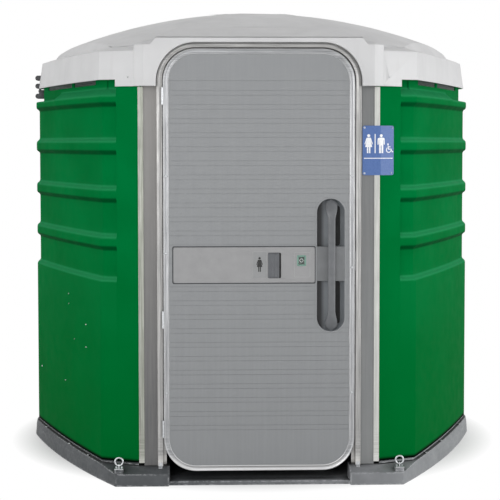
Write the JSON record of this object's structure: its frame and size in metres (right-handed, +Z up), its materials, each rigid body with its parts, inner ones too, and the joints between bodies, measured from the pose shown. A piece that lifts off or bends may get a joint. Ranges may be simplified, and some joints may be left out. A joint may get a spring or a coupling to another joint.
{
  "type": "portable toilet cabin",
  "caption": "Free-standing wheelchair-width toilet cabin: ribbed plastic walls on a kerbed tray, domed roof, arched outward-opening door with latch, seat on a tank, grab bars.",
  "frame": {"origin": "centre of the bottom of the base tray", "axes": "+Z up, the door faces -Y, +X to the right seen from in front of the door"},
  "size_m": [2.3616, 2.362, 2.262],
  "materials": {
    "tray_plastic": "rotomoulded dark grey, fine grain",
    "wall_plastic": "thermoformed green, soft gloss",
    "roof_plastic": "thermoformed pale grey",
    "bright_aluminium": "extruded, bright",
    "post_plastic": "taupe grey",
    "door_plastic": "grey, grooved",
    "latch_plastic": "grey moulded",
    "handle_plastic": "grey moulded",
    "dark_plastic": "dark grey",
    "steel": "zinc plated",
    "sign_blue": "printed plate",
    "tile_white": "printed tile",
    "clear_pane": "clear",
    "flag_green": "printed",
    "tank_plastic": "rotomoulded",
    "seat_plastic": "moulded",
    "pipe_plastic": "extruded",
    "paper": "soft paper"
  },
  "bodies": {
    "root": {"base_tray": "tray_plastic", "base_bolts": "steel", "left_wall": "wall_plastic", "right_wall": "wall_plastic", "rear_wall": "wall_plastic", "vent_screens": "dark_plastic", "front_strip_right": "bright_aluminium", "front_strip_left": "bright_aluminium", "rear_strip_right": "bright_aluminium", "rear_strip_left": "bright_aluminium", "jamb_post_right": "post_plastic", "jamb_post_left": "post_plastic", "header_panel": "post_plastic", "door_frame_left": "bright_aluminium", "door_frame_right": "bright_aluminium", "door_frame_head": "bright_aluminium", "frame_foot_brackets": "steel", "strike_plate": "steel", "roof": "roof_plastic", "roof_rivets": "steel", "lift_bracket": "dark_plastic", "lift_bracket_bolts": "steel", "sign_plate": "sign_blue", "sign_rivets": "steel", "wall_rivets": "steel", "tie_down_plates": "steel", "hinge_frame_leaves": "steel", "hinge_pins": "steel", "waste_tank": "tank_plastic", "seat_hinge_posts": "seat_plastic", "seat_hinge_pin": "steel", "vent_pipe": "pipe_plastic", "vent_cap": "pipe_plastic", "grab_bar_side": "steel", "grab_bar_rear": "steel", "paper_bracket": "steel", "paper_spindle": "steel"},
    "door": {"door_front_panel": "door_plastic", "door_back_panel": "door_plastic", "door_edge_trim": "bright_aluminium", "trim_rivets": "steel", "latch_plate": "latch_plastic", "symbol_tile": "tile_white", "indicator_window": "clear_pane", "bolt_cover": "latch_plastic", "pull_handle": "handle_plastic", "inner_pull_handle": "dark_plastic", "latch_housing": "dark_plastic", "coat_hook": "steel", "hinge_door_leaves": "steel"},
    "latch": {"latch_bolt": "steel", "latch_knob": "dark_plastic", "occupancy_flag": "flag_green"},
    "seat": {"toilet_seat": "seat_plastic"},
    "lid": {"seat_lid": "seat_plastic"},
    "ring_left": {"tie_down_ring_left": "steel"},
    "ring_right": {"tie_down_ring_right": "steel"},
    "roll_1": {"paper_roll_1": "paper"},
    "roll_2": {"paper_roll_2": "paper"}
  },
  "joints": [
    {"name": "door_hinge", "type": "hinge", "parent": "root", "child": "door", "pos_m": [-0.44525, -1.1215, 0], "axis": [0, 0, -1], "range_deg": [0, 110]},
    {"name": "latch_slide", "type": "slide", "parent": "door", "child": "latch", "axis": [1, 0, 0], "range_m": [0, 0.026]},
    {"name": "seat_hinge", "type": "hinge", "parent": "root", "child": "seat", "pos_m": [-0.39, 0.955, 0.475], "axis": [-1, 0, 0], "range_deg": [0, 88]},
    {"name": "lid_hinge", "type": "hinge", "parent": "root", "child": "lid", "pos_m": [-0.39, 0.955, 0.475], "axis": [-1, 0, 0], "range_deg": [-93, 0]},
    {"name": "ring_left_swivel", "type": "hinge", "parent": "root", "child": "ring_left", "pos_m": [-0.65, -1.145, 0.091], "axis": [1, 0, 0], "range_deg": [-85, 85]},
    {"name": "ring_right_swivel", "type": "hinge", "parent": "root", "child": "ring_right", "pos_m": [0.65, -1.145, 0.091], "axis": [1, 0, 0], "range_deg": [-85, 85]},
    {"name": "roll_1_spin", "type": "hinge", "parent": "root", "child": "roll_1", "pos_m": [-0.74828, -0.8164, 0.652], "axis": [0.4308, -0.9025, 0], "continuous": true},
    {"name": "roll_2_spin", "type": "hinge", "parent": "root", "child": "roll_2", "pos_m": [-0.74828, -0.8164, 0.652], "axis": [0.4308, -0.9025, 0], "continuous": true}
  ]
}
